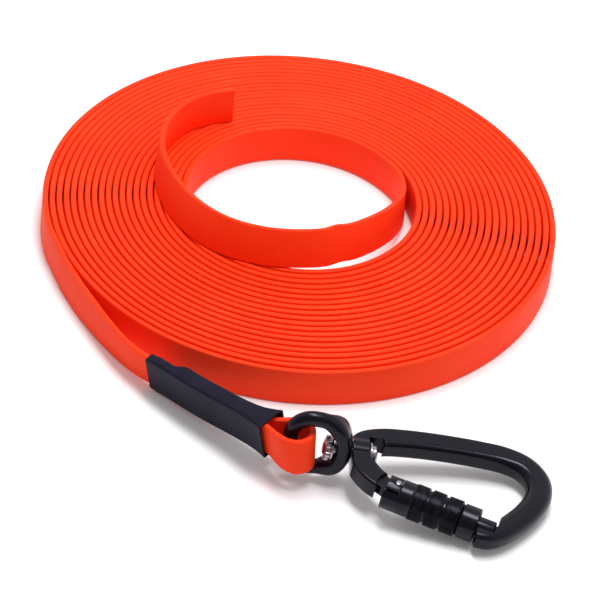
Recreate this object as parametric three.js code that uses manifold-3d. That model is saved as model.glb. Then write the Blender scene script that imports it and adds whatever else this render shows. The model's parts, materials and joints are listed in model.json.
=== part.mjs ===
// Flat-strap training leash, wound on edge into a pancake coil, with an auto-lock swivel carabiner.
// Millimetres, +Z up. The coil lies on z = 0; the whole object is centred on x = y = 0 at the end.
import * as THREE from "three";
import { mergeVertices } from "three/addons/utils/BufferGeometryUtils.js";
import Module from "manifold-3d";

const wasm = await Module();
wasm.setup();

// ---------------------------------------------------------------- driving dimensions
const GAP = 0.3; // air between neighbouring pieces
const STRAP = { width: 16, thick: 2.2 };
const COIL = { outerR: 102.4, innerR: 45.4, holeX: -0.6, holeY: 8 };
const TAIL = { leaveDeg: -152, pitch: 2.9 }; // where the outer turn leaves the coil
const TUBE = { wall: 0.7, room: 0.5 }; // heat-shrink tube and the air in it
const SWIVEL = { x: 7.8, y: -145.8, z: 17.1, yawDeg: 4.5, pitchDeg: 6.9, rollDeg: 2.9 };
const LOOP_LIFT = 8.2; // height of the fold round the eye's bar
const EYE = {
  barR: 2.9, centreX: 5.65, halfHeight: 12.1, reach: 12.1, cornerR: 6.65, baseX: 14.6,
  widening: 2.6, thicker: 0.25,
};
const PIN = { r: 2.2, headR: 3.8, farR: 3.6 }; // swivel rivet
const FRAME = { thick: 8, bevel: 2.2, bossR: 5.4, bossX: 21.3, bossLength: 6.8 };
const HINGE = { x: 39, y: -20.2, axisDeg: -18.4, pinR: 1.25, clearR: 8.1 };
const TONGUE = { half: 3.2, thick: 4.6 };
const GATE = { rodR: 4.2, tipR: 4, forkR: 6.6, start: -3.7, end: 39.8, noseR: 40.6, springR: 2.9 };
const LIP = { inner: -4.4, start: 33.5 }; // the nose's end, which stops the gate from outside
const SLEEVE = { start: 1.8, end: 33, boreR: 4.6, bandR: 7.1, plainR: 6.7, grooveR: 6.3, skirtStart: -4.3 };
const LOCK = { twistDeg: 90, pinX: 9, pinR: 0.8, springX: [14.4, 24.6], ringX: 30.7 };
const RIGHT = Math.PI / 2;
const rad = THREE.MathUtils.degToRad;

// ---------------------------------------------------------------- materials
function paint(color, roughness, metalness) {
  return new THREE.MeshStandardMaterial({ color, roughness, metalness });
}
const orange = () => paint(0xff4a1e, 0.55, 0);
const rubberBlack = () => paint(0x2b2a38, 0.6, 0);
const anodised = () => paint(0x1b1a22, 0.35, 0.8);
const steel = () => paint(0xc4c4c8, 0.28, 1);
const thread = () => paint(0xd9431a, 0.8, 0);

// ---------------------------------------------------------------- solids
const clean = (geometry) => {
  const bare = geometry.index ? geometry.toNonIndexed() : geometry.clone();
  bare.deleteAttribute("normal");
  bare.deleteAttribute("uv");
  return mergeVertices(bare, 1e-4);
};

function solid(geometry, matrix) {
  const closed = clean(matrix ? geometry.clone().applyMatrix4(matrix) : geometry);
  return new wasm.Manifold(
    new wasm.Mesh({
      numProp: 3,
      vertProperties: new Float32Array(closed.attributes.position.array),
      triVerts: new Uint32Array(closed.index.array),
    }),
  );
}

function geometryOf(manifold) {
  const mesh = manifold.getMesh();
  const geometry = new THREE.BufferGeometry();
  geometry.setAttribute("position", new THREE.BufferAttribute(new Float32Array(mesh.vertProperties), 3));
  geometry.setIndex(new THREE.BufferAttribute(new Uint32Array(mesh.triVerts), 1));
  const faceted = geometry.toNonIndexed();
  faceted.computeVertexNormals();
  return faceted;
}

const at = (x, y, z) => new THREE.Matrix4().makeTranslation(x, y, z);
const turnX = (angle) => new THREE.Matrix4().makeRotationX(angle);
const turnZ = (angle) => new THREE.Matrix4().makeRotationZ(angle);

// A round bar or bore along +X from x0 to x1.
function barX(r, x0, x1, sides = 24) {
  const geometry = new THREE.CylinderGeometry(r, r, x1 - x0, sides);
  geometry.rotateZ(-RIGHT);
  geometry.translate((x0 + x1) / 2, 0, 0);
  return geometry;
}

// A round bar or bore along Z, centred on z = 0.
function barZ(r, length, x = 0, y = 0, sides = 32) {
  const geometry = new THREE.CylinderGeometry(r, r, length, sides);
  geometry.rotateX(RIGHT);
  geometry.translate(x, y, 0);
  return geometry;
}

function box(x0, x1, y0, y1, z0, z1) {
  const geometry = new THREE.BoxGeometry(x1 - x0, y1 - y0, z1 - z0);
  geometry.translate((x0 + x1) / 2, (y0 + y1) / 2, (z0 + z1) / 2);
  return geometry;
}

// A turned piece along +X from [x, r] pairs.
function turned(profile, sides = 28) {
  const points = profile.map(([x, r]) => new THREE.Vector2(r, x));
  const geometry = new THREE.LatheGeometry(points, sides);
  geometry.rotateZ(-RIGHT);
  return geometry;
}

// A round section swept along a path of points.
function sweep(points, r, steps, halfSides) {
  const section = new THREE.Shape();
  section.absarc(0, 0, r, 0, 2 * Math.PI, false);
  return new THREE.ExtrudeGeometry(section, {
    extrudePath: new THREE.CatmullRomCurve3(points), steps, curveSegments: halfSides, bevelEnabled: false,
  });
}

// A coil spring along +X.
function spring(meanR, wireR, x0, x1, turns) {
  const perTurn = 10;
  const points = Array.from({ length: turns * perTurn + 1 }, (_, i) => {
    const angle = (2 * Math.PI * i) / perTurn;
    const x = x0 + ((x1 - x0) * i) / (turns * perTurn);
    return new THREE.Vector3(x, meanR * Math.cos(angle), meanR * Math.sin(angle));
  });
  return sweep(points, wireR, turns * perTurn, 3);
}

// An upright band standing on its edge. A row is [x, y, lift, lean, left, right]: lift raises the
// lower edge, lean shifts the upper edge to the left of the way along, left and right are half widths.
function band(route, height, stepsPerRow = 3) {
  const track = new THREE.CatmullRomCurve3(route.map(([x, y, lift]) => new THREE.Vector3(x, y, lift)));
  const sizes = new THREE.CatmullRomCurve3(
    route.map(([, , , lean, left, right]) => new THREE.Vector3(lean, left, right)));
  const geometry = new THREE.BoxGeometry(1, 1, 1, stepsPerRow * (route.length - 1), 1, 1);
  const position = geometry.attributes.position;
  for (let i = 0; i < position.count; i++) {
    const share = THREE.MathUtils.clamp(position.getX(i) + 0.5, 0, 1);
    const p = track.getPoint(share);
    const t = track.getTangent(share);
    const size = sizes.getPoint(share);
    const across = new THREE.Vector2(-t.y, t.x).normalize();
    const upper = position.getZ(i) > 0;
    const d = (position.getY(i) > 0 ? size.y : -size.z) + (upper ? size.x : 0);
    position.setXYZ(i, p.x + across.x * d, p.y + across.y * d, p.z + (upper ? height : 0));
  }
  return geometry;
}

function node(name, geometry, material, place) {
  const mesh = new THREE.Mesh(place ? geometry.clone().applyMatrix4(place) : geometry, material);
  mesh.name = name;
  return mesh;
}

// ---------------------------------------------------------------- strap
const HALF = STRAP.thick / 2;

// Outer edge of the coil: where the outer tail leaves, the edge steps in by one pitch.
function strapCoil() {
  const shape = new THREE.Shape();
  const steps = 96;
  const blend = 20;
  for (let i = 0; i < steps; i++) {
    const angle = rad(TAIL.leaveDeg) + (2 * Math.PI * i) / (steps - 1);
    const r = COIL.outerR - TAIL.pitch * Math.max(0, 1 - i / blend);
    shape[i ? "lineTo" : "moveTo"](r * Math.cos(angle), r * Math.sin(angle));
  }
  shape.closePath();
  const hole = new THREE.Path();
  hole.absarc(COIL.holeX, COIL.holeY, COIL.innerR, 0, 2 * Math.PI, true);
  shape.holes.push(hole);
  return new THREE.ExtrudeGeometry(shape, { depth: STRAP.width, bevelEnabled: false, curveSegments: 72 });
}

// The free inner end climbs out of the hole, crosses the front of the coil and stops at its left back.
const ON_TOP = STRAP.width + GAP;
const INNER_ROUTE = [
  [40.9, 20, 0.8, -0.5], [38.6, 4, 5, -1.6], [32.4, -11.8, 10, -2.6], [23.1, -26.2, 14.4, -3.8],
  [17.7, -31.4, 16.4, -4.4], [12.6, -34.9, ON_TOP, -4.6], [1, -37.9, ON_TOP, -4.5],
  [-12.8, -38.4, ON_TOP, -4.2],
  [-28.9, -34.4, ON_TOP, -4.2], [-43, -24, ON_TOP, -3.8], [-52.9, -9, ON_TOP, -3],
  [-58, 8, ON_TOP, -1.5], [-57.3, 25, ON_TOP, -0.5], [-50.6, 40, ON_TOP, 0], [-41.5, 48.5, ON_TOP, 0],
  [-31.5, 53, ON_TOP, 0],
];

// The outer end leaves the coil, leans outwards and rises to the eye's height; the last rows are
// inside the tube.
const TAIL_LEAN = -4;
const OUTER_ROUTE = [
  [-89, -48.1, 0, 0], [-81.8, -61.5, 0, 0], [-74.9, -72.1, 0.1, -0.6], [-68.3, -81.2, 0.3, -1.6],
  [-61.8, -89.1, 0.7, -2.7], [-55.5, -95.8, 1.3, -3.6], [-48.6, -101.5, 1.9, TAIL_LEAN],
  [-42.1, -107, 2.6, TAIL_LEAN], [-36, -112.5, 3.4, TAIL_LEAN], [-29.9, -117.9, 4.2, TAIL_LEAN],
  [-23.8, -122.9, 5, TAIL_LEAN], [-17.7, -127.8, 5.9, TAIL_LEAN], [-11.6, -132.9, 6.8, TAIL_LEAN],
  [-5.5, -138.3, 7.7, TAIL_LEAN],
];
const TUBE_ROWS = { first: 6, step: 8 }; // rows where the tube starts and where its second layer starts
const LAYER = 2.6; // from the middle of one layer in the tube to the middle of the other

// The fold goes from the front of the tube round the eye's bar and back to the rear of the tube.
const FOLD_ROUTE = [
  [-0.8, -143.1, LOOP_LIFT, -3.5], [2.4, -147.8, LOOP_LIFT, -2.6], [5.9, -151.6, LOOP_LIFT, -1.3],
  [10, -152.8, LOOP_LIFT, 0], [14, -150.3, LOOP_LIFT, 0.6], [15.3, -145.8, LOOP_LIFT, 0.8],
  [13.8, -140.8, LOOP_LIFT, 1.2], [10, -138, LOOP_LIFT, 1.9], [5.4, -137.3, LOOP_LIFT, 2.7],
  [0.9, -137.4, LOOP_LIFT, 3.4],
];
const FOLD_END = [-4.6, -134.7, 7.7, -TAIL_LEAN];

const halves = (rows, left, right = left) => rows.map((row) => [...row.slice(0, 4), left, right]);

function beside(rows, d) {
  return rows.map(([x, y, lift, lean], i) => {
    const [ax, ay] = rows[Math.max(0, i - 1)];
    const [bx, by] = rows[Math.min(rows.length - 1, i + 1)];
    const length = Math.hypot(bx - ax, by - ay);
    return [x - ((by - ay) / length) * d, y + ((bx - ax) / length) * d, lift, lean];
  });
}

const innerTail = () => band(halves(INNER_ROUTE, HALF), STRAP.width, 4);

function outerTail() {
  const tail = solid(band(halves(OUTER_ROUTE, HALF), STRAP.width));
  return geometryOf(tail.subtract(seamRoom()));
}

function strapFold() {
  const rear = beside(OUTER_ROUTE, LAYER).slice(TUBE_ROWS.step, -1).reverse()
    .map(([x, y, lift, lean]) => [x, y, lift, -lean]);
  const fold = solid(band(halves([...FOLD_ROUTE, FOLD_END, ...rear], HALF), STRAP.width));
  return geometryOf(fold.subtract(seamRoom()));
}

// The heat-shrink tube: one layer thick at its start, two from the end of the fold, wide at its mouth.
const MOUTH = [-1.2, -142.2, LOOP_LIFT, TAIL_LEAN];
// Extra room at the last rows, where the layers part, to the left and to the right.
const MOUTH_FLARE = [0.4, 1.7, 4.7];
const FRONT_FLARE = [0, 0.25, 0.9];

function tubeRows(skin) {
  const rows = [...OUTER_ROUTE.slice(TUBE_ROWS.first), MOUTH];
  const one = HALF + TUBE.room + skin;
  return rows.map((row, i) => {
    const second = i < TUBE_ROWS.step - TUBE_ROWS.first ? 0 : LAYER;
    const last = i - rows.length + MOUTH_FLARE.length;
    return [...row.slice(0, 4), one + second + (MOUTH_FLARE[last] ?? 0), one + (FRONT_FLARE[last] ?? 0)];
  });
}

function extended(rows, d) {
  const grow = ([ax, ay], [bx, by, ...rest]) => {
    const length = Math.hypot(bx - ax, by - ay);
    return [bx + ((bx - ax) / length) * d, by + ((by - ay) / length) * d, ...rest];
  };
  return [grow(rows[1], rows[0]), ...rows, grow(rows.at(-2), rows.at(-1))];
}

function heatShrinkTube() {
  const outerRoom = TUBE.room + TUBE.wall;
  const skin = solid(band(tubeRows(TUBE.wall), STRAP.width + 2 * outerRoom), at(0, 0, -outerRoom));
  const room = band(extended(tubeRows(0), 2), STRAP.width + 2 * TUBE.room);
  return geometryOf(skin.subtract(solid(room, at(0, 0, -TUBE.room))));
}

// Two rows of thread lock the folded-back end to the strap, sunk in both layers inside the tube.
const SEAM = { heights: [4, 12], stitches: 6, from: 0.08, to: 0.72, threadR: 0.4, depth: 0.5 };

function rod(a, b, r) {
  const along = b.clone().sub(a);
  const bar = new THREE.CylinderGeometry(r, r, along.length() + 2 * (r - SEAM.threadR), 8);
  bar.applyQuaternion(new THREE.Quaternion().setFromUnitVectors(
    new THREE.Vector3(0, 1, 0), along.normalize()));
  bar.translate((a.x + b.x) / 2, (a.y + b.y) / 2, (a.z + b.z) / 2);
  return solid(bar);
}

// A lock stitch: straight through both layers, then along one face or the other to the next hole.
function seam(height, r) {
  const track = new THREE.CatmullRomCurve3(
    OUTER_ROUTE.slice(TUBE_ROWS.step).map(([x, y, lift]) => new THREE.Vector3(x, y, lift + height)));
  const front = SEAM.depth - HALF;
  const rear = LAYER - front;
  const shift = (TAIL_LEAN * height) / STRAP.width;
  const ends = Array.from({ length: SEAM.stitches }, (_, i) => {
    const share = SEAM.from + ((SEAM.to - SEAM.from) * i) / (SEAM.stitches - 1);
    const p = track.getPoint(share);
    const t = track.getTangent(share);
    const across = new THREE.Vector3(-t.y, t.x, 0).normalize();
    return [front, rear].map((d) => p.clone().addScaledVector(across, d + shift));
  });
  let thread = rod(...ends[0], r);
  for (let i = 1; i < ends.length; i++) {
    thread = thread.add(rod(...ends[i], r)).add(rod(ends[i - 1][i % 2], ends[i][i % 2], r));
  }
  return thread;
}

const seamRoom = () => {
  const [lower, upper] = SEAM.heights.map((height) => seam(height, SEAM.threadR + GAP));
  return lower.add(upper);
};

// ---------------------------------------------------------------- swivel eye (its own frame)
// Local +X runs along the swivel axis from the bar that holds the strap; local Z is the bar's.
const SQUARENESS = 2.4; // exponent of the outline's round end
const power = (value, exponent) => Math.sign(value) * Math.abs(value) ** exponent;

// The middle of the ring's bar, once round, in its X-Z plane.
function eyeLine() {
  const drop = EYE.halfHeight - EYE.cornerR;
  const points = [];
  const add = (steps, from, to, place) => {
    for (let i = 0; i < steps; i++) {
      points.push(new THREE.Vector3(...place(from + ((to - from) * i) / steps)));
    }
  };
  add(24, -RIGHT, RIGHT, (a) => [EYE.centreX + EYE.reach * power(Math.cos(a), 2 / SQUARENESS), 0,
    EYE.halfHeight * power(Math.sin(a), 2 / SQUARENESS)]);
  const corner = (z) => (a) => [EYE.centreX + EYE.cornerR * Math.cos(a), 0, z + EYE.cornerR * Math.sin(a)];
  add(6, RIGHT, 2 * RIGHT, corner(drop));
  add(6, 2 * RIGHT, 3 * RIGHT, corner(-drop));
  return new THREE.CatmullRomCurve3(points, true);
}

// A round bar where the strap holds it, which widens to a broad base where the swivel goes in.
function eyeRing() {
  const line = eyeLine();
  const [around, along] = [16, 56];
  const ring = new THREE.TorusGeometry(1, 0.3, around, along);
  const position = ring.attributes.position;
  for (let i = 0; i < position.count; i++) {
    const share = (i % (along + 1)) / along;
    const angle = (Math.floor(i / (along + 1)) / around) * 4 * RIGHT;
    const p = line.getPoint(share % 1);
    const t = line.getTangent(share % 1);
    const base = THREE.MathUtils.smoothstep(p.x, EYE.centreX + 1, EYE.centreX + 10.5);
    const square = 2 / (2 + 1.6 * base);
    const out = (EYE.barR + EYE.thicker * base) * power(Math.cos(angle % (4 * RIGHT)), square);
    const deep = (EYE.barR + EYE.widening * base) * power(Math.sin(angle % (4 * RIGHT)), square);
    position.setXYZ(i, p.x - t.z * out, deep, p.z + t.x * out);
  }
  return ring;
}

function swivelEye() {
  const hole = barX(PIN.r + GAP, EYE.baseX - 5, EYE.baseX + 12);
  const seat = barX(WASHER.r + 0.8, EYE.baseX - 7, EYE.baseX);
  return geometryOf(solid(eyeRing()).subtract(solid(seat)).subtract(solid(hole)));
}

// ---------------------------------------------------------------- swivel rivet and washers
const WASHER = { r: 4.6, thick: 1 };
const EYE_WASHER_X = EYE.baseX - GAP - WASHER.thick;
const BOSS_END = FRAME.bossX + FRAME.bossLength;
const ARM_WASHER_X = BOSS_END + GAP;

function washer(x) {
  const bore = PIN.r + GAP;
  const end = x + WASHER.thick;
  return turned([[x, bore], [x, WASHER.r], [end, WASHER.r], [end, bore], [x, bore]], 24);
}

// The rivet: a lobed peened head inside the eye, a plain shaft, a flat head inside the carabiner.
function swivelRivet() {
  const head = EYE_WASHER_X - GAP;
  const far = ARM_WASHER_X + WASHER.thick + GAP;
  let rivet = solid(turned([
    [head - 2.6, 0], [head - 2.6, 2.2], [head - 1.6, PIN.headR - 0.4], [head, PIN.headR], [head, PIN.r],
    [far, PIN.r], [far, PIN.farR], [far + 1.2, PIN.farR], [far + 1.8, PIN.farR - 0.8], [far + 1.8, 0],
  ], 24));
  for (let i = 0; i < 6; i++) {
    const lobe = solid(barX(1.5, head - 1.9, head, 10), at(0, 3.5 * Math.cos((i * Math.PI) / 3),
      3.5 * Math.sin((i * Math.PI) / 3)));
    rivet = rivet.add(lobe);
  }
  return geometryOf(rivet);
}

// ---------------------------------------------------------------- carabiner frame (swivel frame)
// Rows are [x, y, half width] along the middle of the bar, from the hinge arm round to the nose.
const FRAME_LINE = [
  [34.6, -17.6, 4.4], [30.2, -14.2, 4.6], [26.4, -8.5, 4.7], [24.8, -1.5, 4.8], [26.9, 4.2, 4.8],
  [33.6, 7.5, 4.8], [43.6, 9, 4.7], [58, 9.6, 4.6], [72, 9.2, 4.6], [82, 8, 4.8], [89.6, 4.6, 5],
  [94.4, -2.4, 5.2], [94.4, -10.4, 5.2], [90.6, -19, 5.1], [84.8, -26.8, 5], [78.6, -33.2, 4.7],
  [74, -36.4, 3.8], [69.2, -36.8, 3.1],
];
const gatePlace = at(HINGE.x, HINGE.y, 0).multiply(turnZ(rad(HINGE.axisDeg)));

function frameBody() {
  const middle = new THREE.CatmullRomCurve3(FRAME_LINE.map(([x, y]) => new THREE.Vector3(x, y, 0)));
  const widths = new THREE.CatmullRomCurve3(FRAME_LINE.map(([, , w]) => new THREE.Vector3(w, 0, 0)));
  const samples = 44;
  const edge = (sign) => Array.from({ length: samples + 1 }, (_, i) => {
    const p = middle.getPoint(i / samples);
    const t = middle.getTangent(i / samples);
    const d = sign * (widths.getPoint(i / samples).x - FRAME.bevel);
    return new THREE.Vector2(p.x - t.y * d, p.y + t.x * d);
  });
  const outline = new THREE.Shape([...edge(1), ...edge(-1).reverse()]);
  const body = new THREE.ExtrudeGeometry(outline, {
    depth: FRAME.thick - 2 * FRAME.bevel, bevelThickness: FRAME.bevel, bevelSize: FRAME.bevel,
    bevelSegments: 2,
  });
  body.translate(0, 0, FRAME.bevel - FRAME.thick / 2);
  return body;
}

function tongue() {
  const shape = new THREE.Shape();
  const back = new THREE.Vector2(32.4, -14.6);
  const along = new THREE.Vector2(HINGE.x, HINGE.y).sub(back);
  const angle = Math.atan2(along.y, along.x);
  shape.absarc(0, 0, TONGUE.half, -RIGHT, RIGHT, false);
  shape.lineTo(-along.length(), TONGUE.half);
  shape.lineTo(-along.length(), -TONGUE.half);
  shape.closePath();
  const plate = new THREE.ExtrudeGeometry(shape, {
    depth: TONGUE.thick, bevelEnabled: false, curveSegments: 14,
  });
  plate.translate(0, 0, -TONGUE.thick / 2);
  plate.rotateZ(angle);
  plate.translate(HINGE.x, HINGE.y, 0);
  return plate;
}

const TOOTH = { start: 37.2, outer: LIP.inner - 0.6, inner: 2.5, thick: 2.8 };

function carabinerFrame() {
  const around = solid(barZ(HINGE.clearR, 2 * FRAME.thick, HINGE.x, HINGE.y, 48));
  const sweepRoom = solid(barZ(GATE.noseR, 2 * FRAME.thick, 0, 0, 180))
    .intersect(solid(box(28, 50, LIP.inner, 14, -FRAME.thick, FRAME.thick)));
  const sleeveRoom = box(24, LIP.start, -12, 5, -FRAME.thick, FRAME.thick);
  const tooth = box(TOOTH.start, GATE.noseR + 3, TOOTH.outer, TOOTH.inner, -TOOTH.thick / 2, TOOTH.thick / 2);
  const noseRoom = sweepRoom.transform(gatePlace.elements);
  return geometryOf(solid(frameBody())
    .add(solid(barX(FRAME.bossR, FRAME.bossX, BOSS_END)))
    .subtract(around)
    .subtract(noseRoom)
    .subtract(solid(sleeveRoom, gatePlace))
    .add(solid(tongue()))
    .add(solid(tooth, gatePlace))
    .subtract(solid(box(FRAME.bossX - 9, FRAME.bossX, -20, 20, -9, 9)))
    .subtract(solid(box(BOSS_END, BOSS_END + 6, -6.2, 5.6, -9, 9)))
    .subtract(solid(barX(PIN.r + GAP, FRAME.bossX - 4, BOSS_END + 4)))
    .subtract(solid(barZ(HINGE.pinR + GAP, 2 * FRAME.thick, HINGE.x, HINGE.y, 24))));
}

// ---------------------------------------------------------------- gate (gate frame)
// Local +X runs from the hinge pin to the nose, local Z along the hinge pin, +Y into the opening.
const FORK = { slot: TONGUE.thick + 0.8, depth: 4.2, sector: [-20, 125] };
const PLUNGER = { boreR: 1.6, boreEnd: 22.5, headR: 1.3, stemR: 0.55, start: 4.1, headEnd: 7.6, end: 10 };
const RING = { innerR: 3.9, outerR: 5.2, thick: 0.8 };

function wedge(r, x0, x1, fromDeg, toDeg) {
  const shape = new THREE.Shape();
  shape.moveTo(0, 0);
  shape.lineTo(r * Math.cos(rad(fromDeg)), r * Math.sin(rad(fromDeg)));
  shape.absarc(0, 0, r, rad(fromDeg), rad(toDeg), false);
  shape.closePath();
  const geometry = new THREE.ExtrudeGeometry(shape, {
    depth: x1 - x0, bevelEnabled: false, curveSegments: 16,
  });
  geometry.applyMatrix4(new THREE.Matrix4().set(0, 0, 1, x0, 1, 0, 0, 0, 0, 1, 0, 0, 0, 0, 0, 1));
  return geometry;
}

function gateBody() {
  const [s0, s1] = LOCK.springX;
  const rod = solid(turned([
    [GATE.start, 0], [GATE.start, GATE.rodR], [s0 - 0.4, GATE.rodR], [s0 - 0.4, GATE.springR],
    [s1 + 0.4, GATE.springR], [s1 + 0.4, GATE.rodR], [LOCK.ringX - GAP, GATE.rodR],
    [LOCK.ringX - GAP, RING.innerR - GAP], [LOCK.ringX + RING.thick + GAP, RING.innerR - GAP],
    [LOCK.ringX + RING.thick + GAP, GATE.tipR], [GATE.end - 0.5, GATE.tipR],
    [GATE.end, GATE.tipR - 0.5], [GATE.end, 0],
  ]));
  const cheek = solid(wedge(GATE.forkR, GATE.start, SLEEVE.start - 0.4, ...FORK.sector));
  const half = FORK.slot / 2;
  const slit = TOOTH.thick / 2 + GAP;
  return geometryOf(rod
    .add(cheek)
    .subtract(solid(box(-8, FORK.depth, -9, 9, -half, half)))
    .subtract(solid(barX(PLUNGER.boreR, FORK.depth - 1, PLUNGER.boreEnd, 20)))
    .subtract(solid(barZ(HINGE.pinR + GAP, 20, 0, 0, 24)))
    .subtract(solid(box(TOOTH.start - 0.6, GATE.end + 4, -9, TOOTH.inner + 0.4, -slit, slit)))
    .subtract(solid(guidePinBar(LOCK.pinR + GAP, 0, 6))));
}

function guidePinBar(r, low, high) {
  const bar = new THREE.CylinderGeometry(r, r, high - low, 16);
  bar.translate(LOCK.pinX, (low + high) / 2, 0);
  return bar;
}

const guidePin = () => guidePinBar(LOCK.pinR, 2, 5.4);

function gatePlunger() {
  const { start, headEnd, end, headR, stemR } = PLUNGER;
  return turned([[start, 0], [start, headR], [headEnd, headR], [headEnd, stemR], [end, stemR], [end, 0]], 20);
}

const gateSpring = () => spring(1.1, 0.2, PLUNGER.headEnd + 0.7, PLUNGER.boreEnd - 0.7, 6);
const lockSpring = () => spring(3.75, 0.4, LOCK.springX[0] + 0.5, LOCK.springX[1] - 0.5, 5);

// The retaining ring sits in the rod's groove and keeps the lock sleeve from sliding off.
function retainingRing() {
  const [x0, x1] = [LOCK.ringX, LOCK.ringX + RING.thick];
  const { innerR, outerR } = RING;
  return turned([[x0, innerR], [x0, outerR], [x1, outerR], [x1, innerR], [x0, innerR]], 24);
}

// The hinge pin along Z, its upper end flush with the fork's thick cheek.
function hingePin() {
  const pin = turned([[-4.1, 0], [-4.1, HINGE.pinR], [6, HINGE.pinR], [6.3, 1], [6.3, 0]], 20);
  pin.rotateY(-RIGHT);
  return pin;
}

// ---------------------------------------------------------------- lock sleeve (gate frame)
function lockSleeve() {
  const { start, end, boreR, bandR, plainR, grooveR, skirtStart } = SLEEVE;
  const counterR = RING.outerR + 0.4;
  const counterX = LOCK.ringX - GAP;
  const barrel = solid(turned([
    [start, boreR], [start, plainR], [6.6, plainR], [6.8, bandR], [12.1, bandR], [12.3, grooveR],
    [13.1, grooveR], [13.3, bandR], [18.6, bandR], [18.8, grooveR], [19.6, grooveR], [19.8, bandR],
    [25.6, bandR], [25.8, grooveR], [26.6, grooveR], [26.8, plainR], [end - 0.4, plainR],
    [end, plainR - 0.4], [end, counterR], [counterX, counterR], [counterX, boreR], [start, boreR],
  ], 32));
  const skirt = solid(wedge(plainR, skirtStart, start + 1, 137, 223))
    .subtract(solid(barX(boreR + 0.6, skirtStart - 2, start)))
    .subtract(solid(barX(boreR, skirtStart - 2, start + 2)));
  const pinRoom = LOCK.pinR + GAP;
  const grooveRoom = solid(wedge(5.8, LOCK.pinX - pinRoom, LOCK.pinX + pinRoom, -15 - LOCK.twistDeg, 15));
  return geometryOf(barrel.add(skirt).subtract(grooveRoom));
}

// ---------------------------------------------------------------- assembly
const swivelTurn = new THREE.Matrix4().makeRotationFromEuler(
  new THREE.Euler(0, rad(SWIVEL.pitchDeg), rad(SWIVEL.yawDeg), "ZYX"));
const eyePlace = at(SWIVEL.x, SWIVEL.y, SWIVEL.z).multiply(swivelTurn);
const framePlace = eyePlace.clone().multiply(turnX(rad(SWIVEL.rollDeg)));
const lockPlace = framePlace.clone().multiply(gatePlace);

const group = new THREE.Group();
group.add(node("strap_coil", strapCoil(), orange()));
group.add(node("strap_inner_tail", innerTail(), orange()));
group.add(node("strap_outer_tail", outerTail(), orange()));
group.add(node("strap_fold", strapFold(), orange()));
group.add(node("heat_shrink_tube", heatShrinkTube(), rubberBlack()));
group.add(node("seam_lower", geometryOf(seam(SEAM.heights[0], SEAM.threadR)), thread()));
group.add(node("seam_upper", geometryOf(seam(SEAM.heights[1], SEAM.threadR)), thread()));
group.add(node("swivel_eye", swivelEye(), anodised(), eyePlace));
group.add(node("eye_washer", washer(EYE_WASHER_X), steel(), framePlace));
group.add(node("arm_washer", washer(ARM_WASHER_X), steel(), framePlace));
group.add(node("swivel_rivet", swivelRivet(), steel(), framePlace));
group.add(node("carabiner_frame", carabinerFrame(), anodised(), framePlace));
group.add(node("hinge_pin", hingePin(), steel(), lockPlace));
group.add(node("gate_body", gateBody(), anodised(), lockPlace));
group.add(node("gate_plunger", gatePlunger(), steel(), lockPlace));
group.add(node("gate_spring", gateSpring(), steel(), lockPlace));
group.add(node("guide_pin", guidePin(), steel(), lockPlace));
group.add(node("retaining_ring", retainingRing(), steel(), lockPlace));
group.add(node("lock_spring", lockSpring(), steel(), lockPlace));
group.add(node("lock_sleeve", lockSleeve(), anodised(), lockPlace));

// The whole object stands on z = 0, centred on x = y = 0.
const bounds = new THREE.Box3().setFromObject(group);
const centre = bounds.getCenter(new THREE.Vector3());
group.position.set(-centre.x, -centre.y, -bounds.min.z);
export default group;
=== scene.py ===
import json
import math

import bmesh
import bpy
from mathutils import Matrix, Vector, noise


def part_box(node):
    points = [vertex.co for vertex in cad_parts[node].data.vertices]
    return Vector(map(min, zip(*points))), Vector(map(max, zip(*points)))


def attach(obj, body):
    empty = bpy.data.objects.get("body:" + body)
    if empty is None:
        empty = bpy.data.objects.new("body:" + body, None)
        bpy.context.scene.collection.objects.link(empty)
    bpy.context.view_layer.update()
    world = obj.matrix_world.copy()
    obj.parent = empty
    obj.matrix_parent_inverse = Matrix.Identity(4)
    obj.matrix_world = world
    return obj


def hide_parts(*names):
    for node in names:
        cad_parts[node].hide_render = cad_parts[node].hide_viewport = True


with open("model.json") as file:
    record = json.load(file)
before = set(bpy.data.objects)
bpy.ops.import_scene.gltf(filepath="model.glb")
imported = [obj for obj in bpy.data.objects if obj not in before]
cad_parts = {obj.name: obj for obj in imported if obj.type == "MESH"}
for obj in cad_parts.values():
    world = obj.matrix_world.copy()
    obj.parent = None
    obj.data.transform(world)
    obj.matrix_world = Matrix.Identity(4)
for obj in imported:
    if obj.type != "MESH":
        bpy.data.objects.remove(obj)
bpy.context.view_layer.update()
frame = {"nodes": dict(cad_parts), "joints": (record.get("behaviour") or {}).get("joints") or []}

# Training leash: a flat strap wound on edge, heat-shrink, a swivel eye and an auto-lock carabiner.
# Pieces are modelled in millimetres, in the frame of the coil or of the joint that they belong to.
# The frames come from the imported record's joints.
MM = 0.001
GAP = 0.3  # between neighbouring pieces

STRAP_WIDTH = 16.0
STRAP_THICK = 2.2
STRAP_EDGE_R = 0.6
LAYER = 2.6  # from one layer of the leaning tail to the next
COIL_R = 102.4
HOLE = (-0.6, 8.0, 45.4)  # centre and radius of the coil's hole, from the coil's centre
TURNS = 21
LEAVE = -152.0  # degrees, where the outer turn leaves the coil

coil_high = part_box("strap_coil")[1]
COIL = Matrix.Translation((coil_high[0] - COIL_R * MM, coil_high[1] - COIL_R * MM, 0.0))
JOINTS = {joint["name"]: joint for joint in frame["joints"]}


def joint_axis(name):
    return Vector(JOINTS[name]["axis"]).normalized()


def joint_frame(at, x_joint, z_joint):
    """Axes at a joint's point: X along one joint's axis, Z as near as can be to another's."""
    x = joint_axis(x_joint)
    y = joint_axis(z_joint).cross(x).normalized()
    matrix = Matrix((x, y, x.cross(y))).transposed().to_4x4()
    matrix.translation = Vector(JOINTS[at]["pos_m"])
    return matrix


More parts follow.
